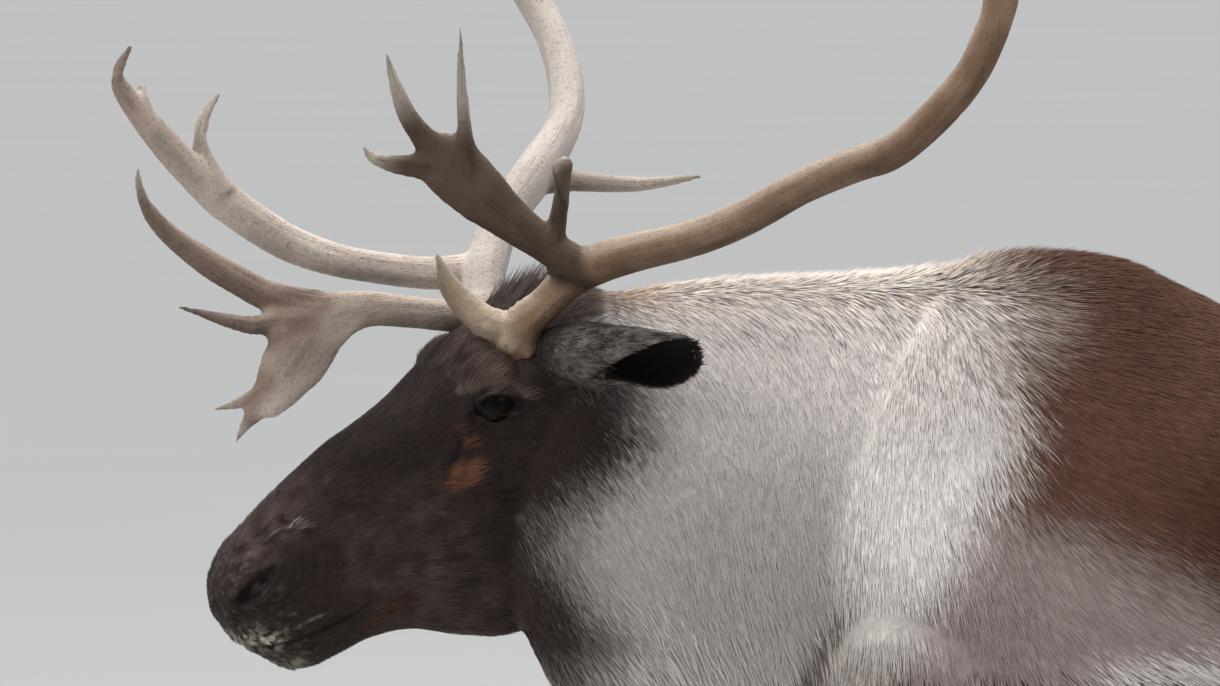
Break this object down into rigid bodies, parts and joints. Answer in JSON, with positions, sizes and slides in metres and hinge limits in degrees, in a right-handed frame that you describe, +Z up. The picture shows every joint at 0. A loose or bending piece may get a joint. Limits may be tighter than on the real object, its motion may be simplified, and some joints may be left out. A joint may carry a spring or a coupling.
{
  "type": "standing bull reindeer",
  "caption": "Standing bull reindeer with a pale maned neck, a dark head lowered and turned to its left, swept-back branched antlers and a palm-shaped brow tine over the muzzle.",
  "frame": {"origin": "on the ground, under the middle of the whole animal's bounding box, antlers included", "axes": "+Z up; the nose points towards -X and the tail towards +X; the animal's left side is towards -Y and its right side towards +Y"},
  "size_m": [1.8092, 0.6682, 1.6405],
  "materials": {
    "dark_coat": "short dense black-brown hair",
    "pale_coat": "long pale grey hair",
    "brown_coat": "dense brown hair, paler on the belly and the shoulder",
    "leg_coat": "short dark brown hair",
    "tail_coat": "whitish hair",
    "antler_bone": "bare hard antler, cream to grey-brown, satin",
    "hoof_horn": "dark worn horn",
    "eye": "wet dark brown eye"
  },
  "bodies": {
    "root": {"antler_left_beam": "antler_bone", "antler_left_bez": "antler_bone", "antler_left_brow": "antler_bone", "antler_left_crown": "antler_bone", "antler_left_foot": "antler_bone", "antler_left_knob": "antler_bone", "antler_left_upper_beam": "antler_bone", "antler_right_beam": "antler_bone", "antler_right_bez": "antler_bone", "antler_right_brow": "antler_bone", "antler_right_crown": "antler_bone", "antler_right_foot": "antler_bone", "antler_right_rear": "antler_bone", "antler_right_upper_beam": "antler_bone", "dewclaw_foreleg_left_inner": "hoof_horn", "dewclaw_foreleg_left_outer": "hoof_horn", "dewclaw_foreleg_right_inner": "hoof_horn", "dewclaw_foreleg_right_outer": "hoof_horn", "dewclaw_hindleg_left_inner": "hoof_horn", "dewclaw_hindleg_left_outer": "hoof_horn", "dewclaw_hindleg_right_inner": "hoof_horn", "dewclaw_hindleg_right_outer": "hoof_horn", "ear_left": "dark_coat", "ear_right": "dark_coat", "eye_left": "eye", "eye_right": "eye", "foreleg_left_lower": "leg_coat", "foreleg_left_upper": "leg_coat", "foreleg_right_lower": "leg_coat", "foreleg_right_upper": "leg_coat", "head": "dark_coat", "hindleg_left_lower": "leg_coat", "hindleg_left_upper": "leg_coat", "hindleg_right_lower": "leg_coat", "hindleg_right_upper": "leg_coat", "hoof_foreleg_left_inner": "hoof_horn", "hoof_foreleg_left_outer": "hoof_horn", "hoof_foreleg_right_inner": "hoof_horn", "hoof_foreleg_right_outer": "hoof_horn", "hoof_hindleg_left_inner": "hoof_horn", "hoof_hindleg_left_outer": "hoof_horn", "hoof_hindleg_right_inner": "hoof_horn", "hoof_hindleg_right_outer": "hoof_horn", "neck": "pale_coat", "tail": "tail_coat", "torso": "brown_coat"}
  },
  "joints": []
}
